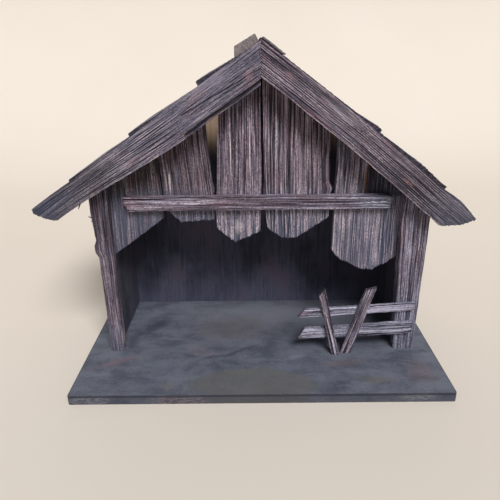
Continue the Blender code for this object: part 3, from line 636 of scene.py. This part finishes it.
carve("left_bargeboard", LEFT_DOWN, 20, "bargeboards", SLATE, BONE, furrow=0.0010, fray_head=0.0020,
      shape=strip_torn_off, comb=0.35, run=0.9, paleness=1.2, cool=(0.005, 0.060),
      shade=(-0.030, 0.020, 0.52),
      marks=((linear(158, 126, 136), 0.7, (0.3020, 0.0, -0.1900), (0.010, 1.0, 0.012)),
             (linear(214, 208, 216), 0.9, (0.3350, 0.0, -0.1600), (0.006, 1.0, 0.014)),
             (linear(158, 150, 164), 0.6, (0.3200, 0.0, -0.1500), (0.022, 1.0, 0.080)),
             (linear(140, 116, 124), 0.5, (0.3160, 0.0, -0.1300), (0.008, 1.0, 0.030)),
             (linear(72, 80, 100), 0.45, (0.3150, 0.0, 0.1000), (0.060, 1.0, 0.090))),
      splinters=(((-0.2050, -0.044, 0.2200), (-0.2071, -0.0455, 0.2138), 0.0012),))
carve("right_bargeboard", RIGHT_DOWN, 21, "bargeboards", MAUVE, BONE, furrow=0.0010, fray_head=0.0040,
      shape=worn_and_lit_below, comb=0.5, red=1.5, cool=(-0.010, 0.045), shade=(-0.120, 0.000, 0.44),
      lumps=(("left", 0.0440, 0.0200, 0.0027),),
      marks=((linear(146, 118, 126), 0.6, (-0.2990, 0.0, -0.1950), (0.008, 1.0, 0.016)),
             (linear(146, 108, 108), 0.7, (-0.2920, 0.0, -0.0180), (0.005, 1.0, 0.020)),
             (linear(196, 186, 194), 0.15, (-0.3050, 0.0, -0.1300), (0.016, 1.0, 0.100)),
             (linear(84, 88, 100), 0.40, (-0.3000, 0.0, 0.0720), (0.060, 1.0, 0.080))))


def raised(eave, near, far, fade):
    """The shape of a roof plank that has cupped.

    Its face stands up by near at its lower edge, and by far from a distance fade above that.
    """
    def shape(a, b, c, relief, outline):
        lift = (outline.back - b) / (outline.back - outline.front)
        share = ramp(np.abs(a - outline.edge(eave, c)), 0.003, fade)
        return b - lift * (near + (far - near) * share), relief, 0.0 * a
    return shape


CUPPED = {"left_roof_plank_1": raised("left", 0.0014, 0.0010, 0.030),
          "right_roof_plank_1": raised("right", 0.0026, 0.0, 0.035),
          "right_roof_plank_2": raised("right", 0.0, 0.0032, 0.045)}
MITRE_GAP = 0.00015
MITRE_REACH = 0.006
SLAB_END_X = -0.0262
left_mitre = (Vector((RIDGE_X - MITRE_GAP, 0.0, 0.3)), RIGHTWARDS)
right_mitre = (Vector((RIDGE_X + MITRE_GAP, 0.0, 0.3)), -RIGHTWARDS)
slab_end = (Vector((SLAB_END_X, 0.0, 0.38)), -RIGHTWARDS)
for side, count, seed, mitre, reach in (("left", 4, 30, left_mitre, (0.0, MITRE_REACH, 0.0, 0.0)),
                                        ("right", 3, 40, right_mitre, (MITRE_REACH, 0.0, 0.0, 0.0))):
    for number in range(1, count + 1):
        name = f"{side}_roof_plank_{number}"
        at_ridge = {"trims": [mitre], "reach": reach} if number == 1 else {}
        carve(name, BACKWARDS, seed + number, "roof_planks", SLATE, BONE, columns=0.0005, rows=0.0030,
              furrow=0.0009, fray_foot=0.0016, fray_head=0.0016, shape=CUPPED.get(name), paleness=0.8,
              **at_ridge)
carve("ridge_slab", BACKWARDS, 50, "ridge_boards", linear(166, 155, 152), FROST, columns=0.0005,
      rows=0.0030, furrow=0.0005, fray_foot=0.0020, fray_head=0.0020, trims=[slab_end],
      reach=(MITRE_REACH, 0.0, 0.0, 0.0), calm=0.45)
carve("ridge_strip", BACKWARDS, 51, "ridge_boards", linear(160, 148, 148), FROST, columns=0.0005,
      rows=0.0030, furrow=0.0006, fray_foot=0.0016, fray_head=0.0016, calm=0.4)

for number, (name, grain, mid) in enumerate((
        ("upper_rail", RAIL_GRAIN, linear(158, 154, 176)), ("lower_rail", RAIL_GRAIN, linear(130, 128, 148)),
        ("left_stake", Matrix.Rotation(LEFT_STAKE_LEAN, 3, "Y") @ UP, PLUM),
        ("right_stake", Matrix.Rotation(RIGHT_STAKE_LEAN, 3, "Y") @ UP, PLUM))):
    carve("fence_" + name, grain, 60 + number, "fence", mid, FROST, rows=0.0020, furrow=0.0004,
          fray_head=0.0010, paleness=1.6)


def coat(node_name, finish):
    nodes[node_name].data.materials.clear()
    nodes[node_name].data.materials.append(finish)


coat("base_board", base_stain())
coat("back_panel", inside_stain("back_stain", True, linear(48, 47, 58), linear(84, 84, 102)))
# Both side wall panels take a lighter copy of the inside stain: painted light on their inner faces.
lit_walls = inside_stain("wall_stain_and_painted_light", False, linear(58, 57, 66), linear(98, 97, 110))
for name in ("left_side_wall", "right_side_wall"):
    coat(name, lit_walls)
roofing = roof_stain()
for name in ("left_roof_panel", "right_roof_panel"):
    coat(name, roofing)


# Stage, light and camera

def stage_sweep():
    """A pale paper floor that curves up into a wall behind."""
    bpy.ops.object.select_all(action="DESELECT")
    bpy.ops.mesh.primitive_plane_add(size=1.0)
    sweep = bpy.context.active_object
    sweep.name = "studio_floor"
    mesh = sweep.data
    mesh.transform(Matrix.Translation((0.0, -0.9, 0.0)) @ Matrix.Diagonal((8.0, 3.4, 1.0, 1.0)))
    bpy.ops.object.mode_set(mode="EDIT")
    bpy.ops.mesh.select_mode(type="EDGE")
    bpy.ops.mesh.select_all(action="DESELECT")
    bpy.ops.object.mode_set(mode="OBJECT")
    for edge in mesh.edges:
        edge.select = all(mesh.vertices[i].co.y > 0.0 for i in edge.vertices)
    bpy.ops.object.mode_set(mode="EDIT")
    bpy.ops.mesh.spin(steps=32, angle=math.radians(-90), center=(0.0, 0.8, 0.9), axis=(1.0, 0.0, 0.0))
    bpy.ops.mesh.extrude_region_move(TRANSFORM_OT_translate={"value": (0.0, 0.0, 2.5)})
    bpy.ops.mesh.select_all(action="SELECT")
    bpy.ops.mesh.normals_make_consistent(inside=True)
    bpy.ops.object.mode_set(mode="OBJECT")
    bpy.ops.object.shade_smooth()
    paper = Finish("studio_paper")
    place = paper.add("TexCoord", {}, {}, output=3)
    mottle = paper.speckle(place, (0.4, 0.4, 0.4), 2.0, 0.5, 1.0)
    colour = paper.blend(mottle, linear(212, 202, 190), linear(219, 210, 199))
    paper.plug(colour, paper.shader.inputs["Base Color"])
    paper.shader.inputs["Roughness"].default_value = 0.9
    mesh.materials.append(paper.material)


def wide_lamp(name, bearing, height, strength, spread):
    """A distant soft light that comes from a bearing and a height in degrees."""
    lamp = bpy.data.lights.new(name, "SUN")
    lamp.energy = strength
    lamp.angle = math.radians(spread)
    holder = bpy.data.objects.new(name, lamp)
    bpy.context.scene.collection.objects.link(holder)
    swing = Matrix.Rotation(math.radians(bearing), 4, "Z")
    holder.matrix_world = swing @ Matrix.Rotation(math.radians(90 - height), 4, "X")


def room_light(strength):
    """Even, cool light from all round. Past the paper, the camera itself sees a pale wall."""
    world = bpy.data.worlds.new("soft_room")
    bpy.context.scene.world = world
    world.use_nodes = True
    tree = world.node_tree
    light = tree.nodes["Background"]
    light.inputs["Color"].default_value = (0.93, 0.95, 1.0, 1.0)
    light.inputs["Strength"].default_value = strength
    seen = tree.nodes.new("ShaderNodeBackground")
    seen.inputs["Color"].default_value = (*linear(240, 231, 219), 1.0)
    rays = tree.nodes.new("ShaderNodeLightPath")
    choice = tree.nodes.new("ShaderNodeMixShader")
    tree.links.new(rays.outputs["Is Camera Ray"], choice.inputs[0])
    tree.links.new(light.outputs[0], choice.inputs[1])
    tree.links.new(seen.outputs[0], choice.inputs[2])
    tree.links.new(choice.outputs[0], tree.nodes["World Output"].inputs["Surface"])


def camera():
    """The place, turn and lens of the photograph's camera."""
    place = (-0.0096277, -0.6083269, 0.3863699)
    pitch, yaw, roll = 0.3800169, 0.0041346, -0.0115127
    turn = Matrix.Rotation(yaw, 3, "Z")
    ahead = turn @ Vector((0.0, math.cos(pitch), -math.sin(pitch)))
    up = turn @ Vector((0.0, math.sin(pitch), math.cos(pitch)))
    side = turn @ RIGHTWARDS
    rolled_side = math.cos(roll) * side + math.sin(roll) * up
    rolled_up = math.cos(roll) * up - math.sin(roll) * side
    lens = bpy.data.cameras.new("camera")
    lens.sensor_fit = "HORIZONTAL"
    lens.sensor_width = 36.0
    lens.lens = 37.07
    lens.dof.use_dof = False
    holder = bpy.data.objects.new("camera", lens)
    bpy.context.scene.collection.objects.link(holder)
    axes = Matrix((rolled_side, rolled_up, -ahead)).transposed().to_4x4()
    holder.matrix_world = Matrix.Translation(place) @ axes
    bpy.context.scene.camera = holder


stage_sweep()
room_light(strength=0.30)
wide_lamp("window", bearing=18.0, height=45.0, strength=3.1, spread=25.0)
camera()
bpy.context.scene.view_settings.view_transform = "Standard"
